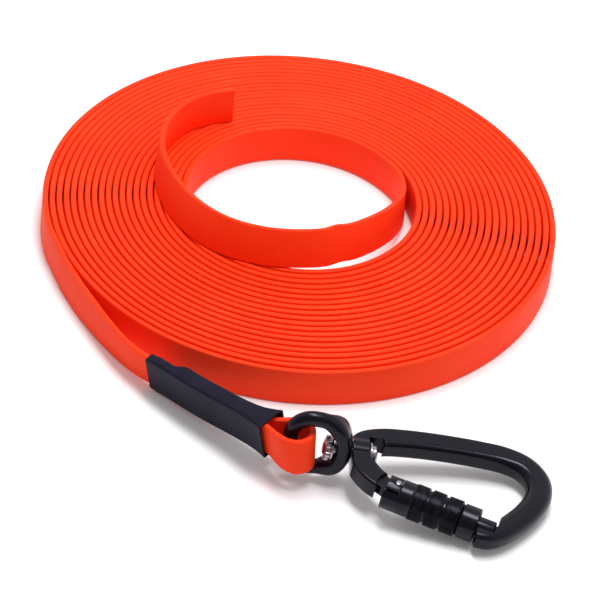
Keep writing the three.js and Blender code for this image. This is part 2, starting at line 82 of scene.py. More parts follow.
EYE = joint_frame("eye_swing", "swivel", "eye_swing")
BINER = joint_frame("eye_swing", "swivel", "gate_hinge")
GATE = joint_frame("gate_hinge", "sleeve_twist", "gate_hinge")


# ------------------------------------------------------------------ camera
CAMERA_AIM = (4.0, -37.6, 0.0)  # mm from the coil's centre
CAMERA_DISTANCE = 2.4136  # metres
CAMERA_ELEVATION = math.radians(38.53)
CAMERA_ROLL = math.radians(6.29)
CAMERA_LENS = 367.1
CAMERA_SENSOR = 36.0


def add_camera():
    aim = COIL @ Vector([value * MM for value in CAMERA_AIM])
    away = Vector((0.0, -math.cos(CAMERA_ELEVATION), math.sin(CAMERA_ELEVATION)))
    data = bpy.data.cameras.new("camera")
    data.lens = CAMERA_LENS
    data.sensor_width = CAMERA_SENSOR
    data.clip_start = 0.1
    data.clip_end = 20.0
    camera = bpy.data.objects.new("camera", data)
    bpy.context.collection.objects.link(camera)
    camera.matrix_world = (Matrix.Translation(aim + away * CAMERA_DISTANCE)
                           @ Matrix.Rotation(math.radians(90) - CAMERA_ELEVATION, 4, "X")
                           @ Matrix.Rotation(CAMERA_ROLL, 4, "Z"))
    bpy.context.scene.camera = camera


add_camera()


# ------------------------------------------------------------------ mesh helpers
def link(name, verts, faces, matrix):
    """A new smooth-shaded object from points in mm in the frame of matrix."""
    mesh = bpy.data.meshes.new(name)
    mesh.from_pydata([matrix @ (Vector(v) * MM) for v in verts], [], faces)
    mesh.update()
    obj = bpy.data.objects.new(name, mesh)
    bpy.context.collection.objects.link(obj)
    bm = bmesh.new()
    bm.from_mesh(obj.data)
    bmesh.ops.recalc_face_normals(bm, faces=bm.faces)
    bm.to_mesh(obj.data)
    bm.free()
    obj.data.shade_smooth()
    return obj


def loft(rings, closed=False):
    """Verts and faces of a tube through rings of equal length, with flat ends unless closed."""
    count = len(rings[0])
    verts = [v for ring in rings for v in ring]
    faces = []
    last = len(rings) if closed else len(rings) - 1
    for i in range(last):
        a, b = i * count, ((i + 1) % len(rings)) * count
        for k in range(count):
            n = (k + 1) % count
            faces.append((a + k, a + n, b + n, b + k))
    if not closed:
        faces.append(tuple(range(count)))
        faces.append(tuple(len(verts) - 1 - k for k in range(count)))
    return verts, faces


def circle(r, sides):
    return [(r * math.cos(2 * math.pi * k / sides), r * math.sin(2 * math.pi * k / sides))
            for k in range(sides)]


def turned(profile, sides=96, bump=None):
    """A closed profile of (x, r) turned round X. bump(x, angle, r) may change the radius."""
    rings = []
    for i in range(sides):
        angle = 2 * math.pi * i / sides
        ring = []
        for x, r in profile:
            radius = bump(x, angle, r) if bump else r
            ring.append((x, radius * math.cos(angle), radius * math.sin(angle)))
        rings.append(ring)
    return loft(rings, closed=True)


def solid_turned(profile, sides):
    """A profile of (x, r) turned round X into a solid, with flat ends."""
    return loft([[(x, a, b) for a, b in circle(r, sides)] for x, r in profile])


def bar_x(r, x0, x1, sides=64):
    return solid_turned([(x0, r), (x1, r)], sides)


def bar_y(r, y0, y1, x, sides=24):
    return loft([[(x + a, y, b) for a, b in circle(r, sides)] for y in (y0, y1)])


def bar_z(r, z0, z1, x=0.0, y=0.0, sides=64):
    return loft([[(x + a, y + b, z) for a, b in circle(r, sides)] for z in (z0, z1)])


def block(x0, x1, y0, y1, z0, z1):
    ring = [(x0, y0), (x1, y0), (x1, y1), (x0, y1)]
    return loft([[(x, y, z) for x, y in ring] for z in (z0, z1)])


def wedge(r, x0, x1, from_deg, to_deg, steps):
    """A sector of a round bar along X, between angles that run from +Y towards +Z."""
    angles = [math.radians(from_deg + (to_deg - from_deg) * k / steps) for k in range(steps + 1)]
    ring = [(0.0, 0.0)] + [(r * math.cos(a), r * math.sin(a)) for a in angles]
    return loft([[(x, a, b) for a, b in ring] for x in (x0, x1)])


def rounded_box(low_x, high_x, low_y, high_y, radius, steps):
    """The outline of a rectangle with round corners."""
    corners = [(high_x - radius, low_y + radius, -90), (high_x - radius, high_y - radius, 0),
               (low_x + radius, high_y - radius, 90), (low_x + radius, low_y + radius, 180)]
    return [(x + radius * math.cos(math.radians(a + 90 * k / steps)),
             y + radius * math.sin(math.radians(a + 90 * k / steps)))
            for x, y, a in corners for k in range(steps + 1)]


def baked(obj):
    """Applies every modifier of obj."""
    depsgraph = bpy.context.evaluated_depsgraph_get()
    depsgraph.update()
    mesh = bpy.data.meshes.new_from_object(obj.evaluated_get(depsgraph))
    old = obj.data
    obj.modifiers.clear()
    obj.data = mesh
    mesh.name = obj.name
    bpy.data.meshes.remove(old)
    return obj


def combine(obj, other, operation):
    """Joins, cuts or intersects obj with another object, and removes the other."""
    modifier = obj.modifiers.new("boolean", "BOOLEAN")
    modifier.operation = operation
    modifier.solver = "EXACT"
    modifier.object = other
    baked(obj)
    mesh = other.data
    bpy.data.objects.remove(other)
    bpy.data.meshes.remove(mesh)


def cut(obj, shape, matrix):
    combine(obj, link("tool", *shape, matrix), "DIFFERENCE")


def join(obj, shape, matrix):
    combine(obj, link("tool", *shape, matrix), "UNION")


def forged(obj, voxel, passes=3):
    """Remeshes obj evenly and softens its edges, as a forging or casting has."""
    remesh = obj.modifiers.new("remesh", "REMESH")
    remesh.mode = "VOXEL"
    remesh.voxel_size = voxel * MM
    soften = obj.modifiers.new("soften", "SMOOTH")
    soften.factor = 0.5
    soften.iterations = passes
    baked(obj)
    obj.data.shade_smooth()
    return obj


def crisp(obj, degrees):
    """Smooth shading with sharp edges above an angle."""
    obj.data.shade_smooth()
    bm = bmesh.new()
    bm.from_mesh(obj.data)
    for edge in bm.edges:
        if len(edge.link_faces) == 2:
            edge.smooth = edge.calc_face_angle(0.0) < math.radians(degrees)
    bm.to_mesh(obj.data)
    bm.free()
    return obj


def catmull(rows, steps):
    """Points on the centripetal Catmull-Rom curve through rows, steps to each stretch."""
    points = [Vector(row) for row in rows]
    points = [2 * points[0] - points[1]] + points + [2 * points[-1] - points[-2]]
    found = []
    for i in range(1, len(points) - 2):
        p = points[i - 1:i + 3]
        t = [0.0]
        for a, b in zip(p, p[1:]):
            t.append(t[-1] + max((b - a).length, 1e-6) ** 0.5)
        for k in range(steps):
            u = t[1] + (t[2] - t[1]) * k / steps
            a1 = p[0].lerp(p[1], (u - t[0]) / (t[1] - t[0]))
            a2 = p[1].lerp(p[2], (u - t[1]) / (t[2] - t[1]))
            a3 = p[2].lerp(p[3], (u - t[2]) / (t[3] - t[2]))
            b1 = a1.lerp(a2, (u - t[0]) / (t[2] - t[0]))
            b2 = a2.lerp(a3, (u - t[1]) / (t[3] - t[1]))
            found.append(b1.lerp(b2, (u - t[1]) / (t[2] - t[1])))
    found.append(points[-2])
    return found


def smoothstep(t):
    t = min(max(t, 0.0), 1.0)
    return t * t * (3.0 - 2.0 * t)


# ------------------------------------------------------------------ the strap's way
ON_TOP = STRAP_WIDTH + GAP
# Rows are [x, y, lift, lean] from the coil's centre. The lean is the upper edge's shift to the left.
INNER_ROUTE = [
    [-31.5, 53.0, ON_TOP, 0.0], [-41.5, 48.5, ON_TOP, 0.0], [-50.6, 40.0, ON_TOP, 0.0],
    [-57.3, 25.0, ON_TOP, 0.5], [-58.0, 8.0, ON_TOP, 1.5], [-52.9, -9.0, ON_TOP, 3.0],
    [-43.0, -24.0, ON_TOP, 3.8], [-28.9, -34.4, ON_TOP, 4.2], [-12.8, -38.4, ON_TOP, 4.2],
    [1.0, -37.9, ON_TOP, 4.5], [12.6, -34.9, ON_TOP, 4.6], [17.7, -31.4, 16.4, 4.4],
    [23.1, -26.2, 14.4, 3.8], [32.4, -11.8, 10.0, 2.6], [38.6, 4.0, 5.0, 1.6],
    [40.9, 20.0, 0.8, 0.5],
]
TAIL_LEAN = -4.0
OUTER_ROUTE = [
    [-89.0, -48.1, 0.0, 0.0], [-81.8, -61.5, 0.0, 0.0], [-74.9, -72.1, 0.1, -0.6],
    [-68.3, -81.2, 0.3, -1.6], [-61.8, -89.1, 0.7, -2.7], [-55.5, -95.8, 1.3, -3.6],
    [-48.6, -101.5, 1.9, TAIL_LEAN], [-42.1, -107.0, 2.6, TAIL_LEAN], [-36.0, -112.5, 3.4, TAIL_LEAN],
    [-29.9, -117.9, 4.2, TAIL_LEAN], [-23.8, -122.9, 5.0, TAIL_LEAN], [-17.7, -127.8, 5.9, TAIL_LEAN],
    [-11.6, -132.9, 6.8, TAIL_LEAN], [-5.5, -138.3, 7.7, TAIL_LEAN],
]
LOOP_LIFT = 8.2
# Rows are [x, y, lean], all at LOOP_LIFT.
FOLD_ROUTE = [
    [-0.8, -143.1, -3.5], [2.4, -147.8, -2.6], [5.9, -151.6, -1.3], [10.0, -152.8, 0.0],
    [14.0, -150.3, 0.6], [15.3, -145.8, 0.8], [13.8, -140.8, 1.2], [10.0, -138.0, 1.9],
    [5.4, -137.3, 2.7], [0.9, -137.4, 3.4],
]
FOLD_END = [-4.6, -134.7, 7.7, -TAIL_LEAN]
TUBE_FIRST = 6  # row of OUTER_ROUTE where the heat-shrink starts
TUBE_STEP = 8  # row where the folded-back end starts inside it

COIL_STEP = 8.0  # degrees between the rows of the coil
FIRST_ROW = 24  # row of the inmost turn that the inner tail runs into
SETTLE = 76.0  # degrees in which the outermost turn comes in to the coil's pitch
ROW_PHASE = 0.035  # way along the noise to one degree of coil
WOBBLE = 0.16  # share of the slack between turns
LIFT = 0.16  # mm that a turn stands off the floor, on average


def beside(rows, distance):
    """The rows moved to the left by distance."""
    moved = []
    for i, row in enumerate(rows):
        a, b = rows[max(0, i - 1)], rows[min(len(rows) - 1, i + 1)]
        way = Vector((b[0] - a[0], b[1] - a[1])).normalized()
        moved.append([row[0] - way.y * distance, row[1] + way.x * distance, *row[2:]])
    return moved


def polar_radius(angle, x, y, r):
    """Distance from the coil's centre to a circle's edge in the direction angle."""
    along = x * math.cos(angle) + y * math.sin(angle)
    across = x * math.sin(angle) - y * math.cos(angle)
    return along + math.sqrt(r * r - across * across)


def coil_row(turn, degrees):
    """The strap's middle at an angle from LEAVE to LEAVE + 360; turn 0 is the outermost."""
    angle = math.radians(degrees)
    hole = polar_radius(angle, *HOLE)
    pitch = (COIL_R - STRAP_THICK - hole) / (TURNS - 1)
    share = (degrees - LEAVE) / 360.0
    inward = turn / (TURNS - 1)
    shift = share * inward + smoothstep(share * 360.0 / SETTLE) * (1.0 - inward)
    along = (degrees - 360.0 * turn) * ROW_PHASE
    wobble = WOBBLE * (pitch - STRAP_THICK) * noise.noise(Vector((along, 3.7, 0.2)))
    lift = LIFT * (1.0 + noise.noise(Vector((along * 0.8, 9.1, 4.4))))
    r = COIL_R - pitch * (turn + 1.0 - shift) - STRAP_THICK / 2 + wobble
    return [r * math.cos(angle), r * math.sin(angle), lift * smoothstep(turn * 0.7 + share), 0.0]


def coil_rows():
    rows = []
    for turn in range(TURNS - 1, -1, -1):
        degrees = LEAVE + FIRST_ROW * COIL_STEP if turn == TURNS - 1 else LEAVE
        while degrees < LEAVE + 360.0 - 0.5 * COIL_STEP:
            rows.append(coil_row(turn, degrees))
            degrees += COIL_STEP
    return rows


def strap_rows():
    """The whole strap: inner tail, coil, outer tail, fold and the end inside the heat-shrink."""
    rear = beside(OUTER_ROUTE, LAYER)[TUBE_STEP:-1]
    rear = [[x, y, lift, -lean] for x, y, lift, lean in rear[::-1]]
    fold = [[x, y, LOOP_LIFT, lean] for x, y, lean in FOLD_ROUTE]
    coil = catmull(INNER_ROUTE + coil_rows(), 3)
    return coil[:-1] + catmull(OUTER_ROUTE + fold + [FOLD_END] + rear, 5)


def upright_rings(rows, section_at):
    """Rings across an upright band. section_at(share) gives (to the left, up) points."""
    rings = []
    for i, row in enumerate(rows):
        a, b = rows[max(0, i - 1)], rows[min(len(rows) - 1, i + 1)]
        left = Vector((a[1] - b[1], b[0] - a[0], 0.0)).normalized()
        tilt = math.asin(row[3] / STRAP_WIDTH)
        up = left * math.sin(tilt) + Vector((0, 0, math.cos(tilt)))
        out = left * math.cos(tilt) - Vector((0, 0, math.sin(tilt)))
        foot = Vector(row[:3])
        section = section_at(i / (len(rows) - 1))
        rings.append([tuple(foot + out * x + up * y) for x, y in section])
    return rings


rows = strap_rows()
section = rounded_box(-STRAP_THICK / 2, STRAP_THICK / 2, 0.0, STRAP_WIDTH, STRAP_EDGE_R, 3)
strap = crisp(link("strap", *loft(upright_rings(rows, lambda share: section)), COIL), 60)


# ------------------------------------------------------------------ heat-shrink
TUBE_WALL = 0.7
TUBE_ROOM = 0.45  # air between the strap and the tube
TUBE_MOUTH = [-1.2, -142.2, LOOP_LIFT, TAIL_LEAN]
TUBE_STEPS = 8  # sections to each row of its route
STEP_LENGTH = 0.65  # rows that the tube takes to widen over the folded-back end


def bulge(place, start, length, power):
    """Grows from nothing at start, in rows of the tube's route, to 1 after length."""
    return max(0.0, (place - start) / length) ** power


def tube_section(place, grow):
    """The tube's outline at a place in rows of its route; grow is 0 inside and the wall outside."""
    layers = smoothstep((place - (TUBE_STEP - TUBE_FIRST) + STEP_LENGTH) / STEP_LENGTH)
    second = (STRAP_THICK + GAP) * layers
    flare = 4.7 * bulge(place, 5.2, 2.8, 2.2)
    front = 0.9 * bulge(place, 6.0, 2.0, 2.0)
    crease = 0.12 * noise.noise(Vector((place * 1.3, 1.0, 7.0)))
    edge = 0.5 * (1.0 - smoothstep(place / 0.5))
    right = STRAP_THICK / 2 + TUBE_ROOM + grow - 0.15 * edge + front
    left = right - front + second + flare + crease
    low = -TUBE_ROOM - grow + 0.3 * edge
    high = STRAP_WIDTH + TUBE_ROOM + grow - 1.2 * edge
    return rounded_box(-right, left, low, high, 0.55 + grow * 0.9, 5)


def heat_shrink():
    rows = catmull(OUTER_ROUTE[TUBE_FIRST:] + [TUBE_MOUTH], TUBE_STEPS)
    total = len(rows) - 1
    outer = upright_rings(rows, lambda share: tube_section(share * total / TUBE_STEPS, TUBE_WALL))
    inner = upright_rings(rows, lambda share: tube_section(share * total / TUBE_STEPS, 0.0))
    return crisp(link("heat_shrink", *loft(outer + inner[::-1], closed=True), COIL), 50)


tube = heat_shrink()


# ------------------------------------------------------------------ swivel eye
BOW_X = 5.65  # where the ring's two ends meet, along the swivel's axis
BOW_R = 11.6  # half height of the ring's middle line
REACH = 13.1  # from BOW_X to the middle of the bar at the swivel's end
CORNER_R = 7.8  # at the strap's end
SQUARENESS = 2.4  # exponent of the ring's outline at the swivel's end
BAR_R = 2.9
WIDENING = 2.6  # added to the bar's half depth at its base
BASE_POWER = 1.6  # added to the exponent of the bar's section at its base
SEAT_X = 15.0  # flat under the rivet's washer
RAISE = 1.5  # the ring's middle above the swivel's axis
PIN_HOLE_R = 2.55


def signed_power(value, power):
    return math.copysign(abs(value) ** power, value)


def arc(x, z, r, from_deg, to_deg, steps):
    angles = [math.radians(from_deg + (to_deg - from_deg) * k / steps) for k in range(steps)]
    return [(x + r * math.cos(a), z + r * math.sin(a)) for a in angles]


def eye_line():
    """The middle of the ring's bar, once round, as (x, z)."""
    bow = arc(0.0, 0.0, 1.0, -90, 90, 72)
    drop = BOW_R - CORNER_R
    return ([(BOW_X + REACH * abs(x) ** (2 / SQUARENESS), BOW_R * signed_power(z, 2 / SQUARENESS))
             for x, z in bow]
            + arc(BOW_X, drop, CORNER_R, 90, 180, 20) + arc(BOW_X, -drop, CORNER_R, 180, 270, 20))


def eye_ring():
    """A forged ring: a round bar where the strap holds it, broad and flat where the swivel goes in."""
    line = eye_line()
    rings = []
    for i, (x, z) in enumerate(line):
        a, b = line[i - 1], line[(i + 1) % len(line)]
        way = Vector((b[0] - a[0], 0, b[1] - a[1])).normalized()
        out = Vector((way.z, 0, -way.x))
        base = smoothstep((x - 9.5) / 7.5)
        deep = BAR_R + WIDENING * base
        thick = BAR_R + 0.25 * base + 0.2 * smoothstep((z - 4.0) / 6.0)
        power = 2.0 / (2.0 + BASE_POWER * base)
        rings.append([tuple(Vector((x, 0, z + RAISE)) + out * (thick * signed_power(c, power))
                            + Vector((0, deep * signed_power(d, power), 0)))
                      for c, d in circle(1.0, 40)])
    return loft(rings, closed=True)


def swivel_eye():
    ring = link("eye", *eye_ring(), EYE)
    cut(ring, bar_x(5.4, SEAT_X - 7, SEAT_X), EYE)
    cut(ring, bar_x(PIN_HOLE_R, SEAT_X - 6, SEAT_X + 13), EYE)
    return forged(ring, 0.27)


eye = swivel_eye()


# ------------------------------------------------------------------ rivet and washers
COLLAR = (22.0, 28.4)  # the carabiner's collar along the swivel's axis
WASHER = {"hole": 2.5, "r": 4.6, "thick": 1.0, "chamfer": 0.18}
EYE_WASHER_X = SEAT_X - GAP - WASHER["thick"]
ARM_WASHER_X = COLLAR[1] + GAP
SHANK_R = 2.2


def washer(name, x):
    hole, r, c = WASHER["hole"], WASHER["r"], WASHER["chamfer"]
    end = x + WASHER["thick"]
    profile = [(x, hole), (x, r - c), (x + c, r), (end - c, r), (end, r - c), (end, hole)]
    return crisp(link(name, *turned(profile), BINER), 30)


def swivel_rivet():
    """A rivet with a six-lobed peened head inside the eye and a plain one inside the carabiner."""
    head = EYE_WASHER_X - GAP
    far = ARM_WASHER_X + WASHER["thick"] + GAP
    body = link("rivet", *solid_turned([
        (head - 2.7, 0.6), (head - 2.6, 1.9), (head - 2.2, 2.6), (head - 1.7, 3.3),
        (head - 0.3, 3.7), (head, 3.7), (head, SHANK_R), (far, SHANK_R), (far, 3.6),
        (far + 1.1, 3.6), (far + 1.5, 3.2), (far + 1.8, 2.5), (far + 1.85, 0.5)], 64), BINER)
    lobe, faces = solid_turned(
        [(head - 1.95, 0.7), (head - 1.8, 1.2), (head - 1.5, 1.45), (head, 1.5)], 32)
    for y, z in circle(3.55, 6):
        join(body, ([(a, b + y, c + z) for a, b, c in lobe], faces), BINER)
    return crisp(body, 28)


eye_washer = washer("washer_eye", EYE_WASHER_X)
arm_washer = washer("washer_arm", ARM_WASHER_X)
rivet = swivel_rivet()


# ------------------------------------------------------------------ carabiner frame
# Rows are [x, y, half width, half thickness, edge radius] along the middle of the bar.
FRAME_LINE = [
    [34.6, -17.6, 4.4, 3.9, 1.2], [30.2, -14.2, 4.6, 3.9, 1.2], [26.4, -8.5, 4.7, 3.9, 1.2],
    [24.8, -1.5, 4.8, 3.9, 1.3], [26.9, 4.2, 4.8, 3.8, 1.5], [33.6, 7.5, 4.8, 3.8, 1.7],
    [43.6, 9.0, 4.7, 3.8, 1.7], [58.0, 9.6, 4.6, 3.8, 1.7], [72.0, 9.2, 4.6, 3.9, 1.9],
    [82.0, 8.0, 4.8, 4.1, 2.6], [89.6, 4.6, 5.0, 4.3, 3.4], [94.4, -2.4, 5.2, 4.4, 3.9],
    [94.4, -10.4, 5.2, 4.4, 4.0], [90.6, -19.0, 5.1, 4.4, 4.0], [84.8, -26.8, 5.0, 4.3, 3.8],
    [78.6, -33.2, 4.7, 4.2, 3.4], [74.0, -36.4, 3.8, 4.0, 2.8], [69.2, -36.8, 3.1, 3.8, 2.2],
]
HINGE = (39.0, -20.2)
PLATE_START = Vector((32.4, -14.6))
PLATE_HALF = 3.2
PLATE_THICK = 4.6
CLEAR_R = 8.1  # room round the hinge for the gate and its sleeve
TIP_R = 4.0
NOSE_R = 40.6  # from the hinge to the cut in the nose that takes the gate's tip
LIP = -4.4  # inner face of the nose's lip, outside the gate's tip
FAR = 16.0  # half length of a cut that goes right through


def frame_bar():
    middle = catmull([row[:2] + [0.0] for row in FRAME_LINE], 8)
    sizes = catmull([row[2:] for row in FRAME_LINE], 8)
    rings = []
    for i, (p, (half_w, half_h, radius)) in enumerate(zip(middle, sizes)):
        a, b = middle[max(0, i - 1)], middle[min(len(middle) - 1, i + 1)]
        left = Vector((a.y - b.y, b.x - a.x, 0.0)).normalized()
        rings.append([tuple(p + left * x + Vector((0, 0, z)))
                      for x, z in rounded_box(-half_w, half_w, -half_h, half_h, radius, 6)])
    return loft(rings)


def tongue():
    """The plate that the gate's fork closes round, with a round end about the hinge pin."""
    hinge = Vector(HINGE)
    way = (hinge - PLATE_START).normalized()
    side = Vector((-way.y, way.x))
    outline = [PLATE_START - side * PLATE_HALF] + [
        hinge + (way * math.cos(a) + side * math.sin(a)) * PLATE_HALF
        for a in (math.radians(-90 + 180 * k / 24) for k in range(25))
    ] + [PLATE_START + side * PLATE_HALF]
    return loft([[(p.x, p.y, z) for p in outline] for z in (-PLATE_THICK / 2, PLATE_THICK / 2)])


def nose_room():
    """The room that the gate's tip swings into, up to the nose's lip."""
    room = link("nose_room", *bar_z(NOSE_R, -FAR, FAR, sides=360), GATE)
    combine(room, link("tool", *block(28, 50, LIP, 14, -8, 8), GATE), "INTERSECT")
    return room


def carabiner_frame():
    body = link("carabiner", *frame_bar(), BINER)
    join(body, bar_x(5.4, *COLLAR), BINER)
    cut(body, bar_z(CLEAR_R, -FAR, FAR, *HINGE, sides=96), BINER)
    combine(body, nose_room(), "DIFFERENCE")
    cut(body, block(COLLAR[0] - 9, COLLAR[0], -20, 20, -9, 9), BINER)  # the collar's flat face
    cut(body, block(24, 33.5, -12, 5, -8, 8), GATE)  # room for the lock sleeve
    cut(body, block(COLLAR[1], COLLAR[1] + 6, -6.2, 5.6, -9, 9), BINER)  # room for the rivet
    join(body, tongue(), BINER)
    join(body, block(37.2, NOSE_R + 3, LIP - 0.6, 2.5, -1.4, 1.4), GATE)  # the nose's tooth
    cut(body, bar_x(PIN_HOLE_R, COLLAR[0] - 4, COLLAR[1] + 4), BINER)  # the rivet's hole
    cut(body, bar_z(1.6, -FAR, FAR, *HINGE), BINER)  # the hinge pin's hole
    return forged(body, 0.22)


carabiner = carabiner_frame()


# ------------------------------------------------------------------ gate, pins and lock sleeve
GATE_PROFILE = [
    (-3.7, 4.2), (14.0, 4.2), (14.0, 2.9), (25.0, 2.9), (25.0, 4.2), (30.4, 4.2), (30.4, 3.6),
    (31.8, 3.6), (31.8, TIP_R), (39.2, TIP_R), (39.6, TIP_R - 0.12), (39.8, TIP_R - 0.5),
]
PIN_PROFILE = [(-4.1, 1.0), (-3.9, 1.25), (6.2, 1.25), (6.55, 1.12), (6.7, 0.8)]


def gate_body():
    body = link("gate", *solid_turned(GATE_PROFILE, 96), GATE)
    join(body, wedge(6.6, -3.7, 1.4, -20, 125, 36), GATE)  # the fork's cheeks
    cut(body, block(-8, 4.2, -9, 9, -2.7, 2.7), GATE)  # the fork's slot
    cut(body, bar_x(1.6, 3.2, 22.5), GATE)  # the plunger's bore
    cut(body, bar_z(1.55, -10, 10), GATE)  # the hinge pin's hole
    cut(body, block(36.6, 44, -9, 2.9, -1.7, 1.7), GATE)  # slot for the nose's tooth
    cut(body, bar_y(1.1, 0, 6, 9), GATE)  # hole for the guide pin
    bevel = body.modifiers.new("bevel", "BEVEL")
    bevel.width = 0.15 * MM
    bevel.segments = 2
    bevel.angle_limit = math.radians(40)
    return crisp(baked(body), 40)


def hinge_pin():
    verts, faces = solid_turned(PIN_PROFILE, 48)
    return crisp(link("pin", [(a, b, h) for h, a, b in verts], faces, GATE), 30)


gate = gate_body()
pin = hinge_pin()

PLAIN_R = 6.7  # outside radius of the sleeve's ends
BAND_R = 7.1
BAND_RISE = 0.4
BAND_SPAN = (6.7, 26.1)  # from the first band to the end of the last one's shoulder
GROOVE_DEPTH = 0.8
KNURLS = 38  # diamonds round the sleeve
KNURL_DEPTH = 0.4
KNURL_MARGIN = 0.25  # plain rim at each side of a band
KNURL_FADE = 0.35  # length in which the knurling reaches its full depth
BANDS = [(6.8, 12.1), (13.3, 18.6), (19.8, 25.6)]
GROOVES = [(12.15, 13.25), (18.65, 19.75), (25.65, 26.45)]
KNURL_PITCH = 2 * math.pi * BAND_R / KNURLS
SLEEVE = (1.8, 33.0)
SLEEVE_BORE_R = 4.6
SLEEVE_ROWS = 190


def sleeve_radius(x):
    """Outside radius of the lock sleeve: plain ends, three bands and the grooves between them."""
    def rise(at, half=0.22):
        return smoothstep((x - at + half) / (2 * half))
    r = PLAIN_R + BAND_RISE * (rise(BAND_SPAN[0]) - rise(BAND_SPAN[1]))
    for low, high in GROOVES:
        r -= GROOVE_DEPTH * (rise(low) - rise(high))
    return r


def knurl(x, angle, r):
    """Flat-topped diamonds, cut into the bands by two sets of crossing grooves."""
    for low, high in BANDS:
        if low + KNURL_MARGIN < x < high - KNURL_MARGIN:
            inside = min(x - low - KNURL_MARGIN, high - KNURL_MARGIN - x)
            fade = smoothstep(inside / KNURL_FADE)
            along = 2 * math.pi * x / KNURL_PITCH
            ridge = max(abs(math.cos((angle * KNURLS + way * along) / 2)) for way in (1, -1))
            return r - KNURL_DEPTH * smoothstep((ridge - 0.66) / 0.2) * fade
    return r


def lock_sleeve():
    start, end = SLEEVE
    outside = [(x, sleeve_radius(x)) for x in
               (start + (end - start) * k / SLEEVE_ROWS for k in range(SLEEVE_ROWS + 1))]
    outside[0] = (start, 6.55)
    outside[-1] = (end, 6.45)
    counter = [(end, 5.6), (30.4, 5.6), (30.4, SLEEVE_BORE_R)]  # room for the retaining ring
    profile = [(start, SLEEVE_BORE_R)] + outside + counter
    sleeve = link("sleeve", *turned(profile, 456, knurl), GATE)
    skirt = link("skirt", *wedge(6.7, -4.3, 2.6, 137, 223, 32), GATE)
    cut(skirt, bar_x(5.2, -6, start), GATE)
    cut(skirt, bar_x(SLEEVE_BORE_R, -6, 4.0), GATE)
    combine(sleeve, skirt, "UNION")
    return crisp(sleeve, 50)


sleeve = lock_sleeve()


# ------------------------------------------------------------------ materials
def shader_of(made):
    return made.node_tree.nodes["Principled BSDF"]


def material(name, sockets):
    made = bpy.data.materials.new(name)
    made.use_nodes = True
    for key, value in sockets.items():
        shader_of(made).inputs[key].default_value = value
    return made


def texture(made, kind, scale, detail, stretch=None):
    """A procedural texture in the object's own coordinates; gives its height output."""
    nodes, links = made.node_tree.nodes, made.node_tree.links
    coords = nodes.new("ShaderNodeTexCoord")
    mapping = nodes.new("ShaderNodeMapping")
    links.new(coords.outputs["Object"], mapping.inputs["Vector"])
    if stretch:
        mapping.inputs["Scale"].default_value = stretch
    node = nodes.new(kind)
    node.inputs["Scale"].default_value = scale
    node.inputs["Detail"].default_value = detail
    links.new(mapping.outputs["Vector"], node.inputs["Vector"])
    return node.outputs["Fac"]


def noise_texture(made, scale, detail, stretch=None):
    return texture(made, "ShaderNodeTexNoise", scale, detail, stretch)


def ramp(made, source, socket, low, high):
    """Drives a socket of the shader by source; low and high are (position, colour) stops."""
    nodes, links = made.node_tree.nodes, made.node_tree.links
    node = nodes.new("ShaderNodeValToRGB")
    for element, (position, colour) in zip(node.color_ramp.elements, (low, high)):
        element.position = position
        element.color = (*colour, 1.0)
    links.new(source, node.inputs["Fac"])
    links.new(node.outputs["Color"], shader_of(made).inputs[socket])


def grey(value):
    return (value, value, value)


def bump(made, height, strength, distance, after=None):
    """Bumps the shader's normal, over an earlier bump if there is one."""
    nodes, links = made.node_tree.nodes, made.node_tree.links
    node = nodes.new("ShaderNodeBump")
    node.inputs["Strength"].default_value = strength
    node.inputs["Distance"].default_value = distance
    links.new(height, node.inputs["Height"])
    if after:
        links.new(after.outputs["Normal"], node.inputs["Normal"])
    links.new(node.outputs["Normal"], shader_of(made).inputs["Normal"])
    return node


def strap_material():
    made = material("coated_orange", {
        "Specular IOR Level": 0.12, "Subsurface Weight": 0.2,
        "Subsurface Radius": (1.0, 0.3, 0.1), "Subsurface Scale": 0.0015})
    broad = noise_texture(made, 45.0, 3.0)
    ramp(made, broad, "Base Color", (0.3, (1.0, 0.041, 0.005)), (0.7, (1.0, 0.052, 0.008)))
    fine = noise_texture(made, 2200.0, 3.0)
    ramp(made, fine, "Roughness", (0.3, grey(0.48)), (0.7, grey(0.62)))
    first = bump(made, noise_texture(made, 220.0, 2.0), 0.25, 0.0003)
    bump(made, fine, 0.22, 0.00012, first)
    return made


def shrink_material():
    made = material("heat_shrink_black", {
        "Specular IOR Level": 0.14, "Specular Tint": (0.8, 0.76, 1.0, 1.0)})
    cloud = noise_texture(made, 90.0, 4.0)
    ramp(made, cloud, "Base Color", (0.3, (0.006, 0.005, 0.013)), (0.7, (0.01, 0.0085, 0.02)))
    crease = noise_texture(made, 160.0, 2.0, (1.0, 1.0, 0.35))
    fine = noise_texture(made, 2600.0, 2.0)
    ramp(made, fine, "Roughness", (0.3, grey(0.44)), (0.7, grey(0.58)))
    first = bump(made, crease, 0.35, 0.0006)
    bump(made, fine, 0.15, 0.0001, first)
    return made


def anodised_material():
    made = material("black_anodised", {
        "Specular IOR Level": 0.24, "Specular Tint": (0.82, 0.82, 1.0, 1.0)})
    cloud = noise_texture(made, 60.0, 4.0)
    ramp(made, cloud, "Base Color", (0.3, (0.003, 0.0026, 0.005)), (0.7, (0.006, 0.0052, 0.009)))
    fine = noise_texture(made, 900.0, 3.0)
    ramp(made, fine, "Roughness", (0.25, grey(0.17)), (0.75, grey(0.24)))
    bump(made, fine, 0.03, 0.00003)
    return made


def steel_material():
    made = material("bright_steel", {"Base Color": (0.38, 0.34, 0.38, 1.0), "Metallic": 1.0})
    marks = noise_texture(made, 700.0, 4.0, (1.0, 6.0, 6.0))
    ramp(made, marks, "Roughness", (0.3, grey(0.14)), (0.75, grey(0.34)))
    bump(made, marks, 0.2, 0.00006)
    return made


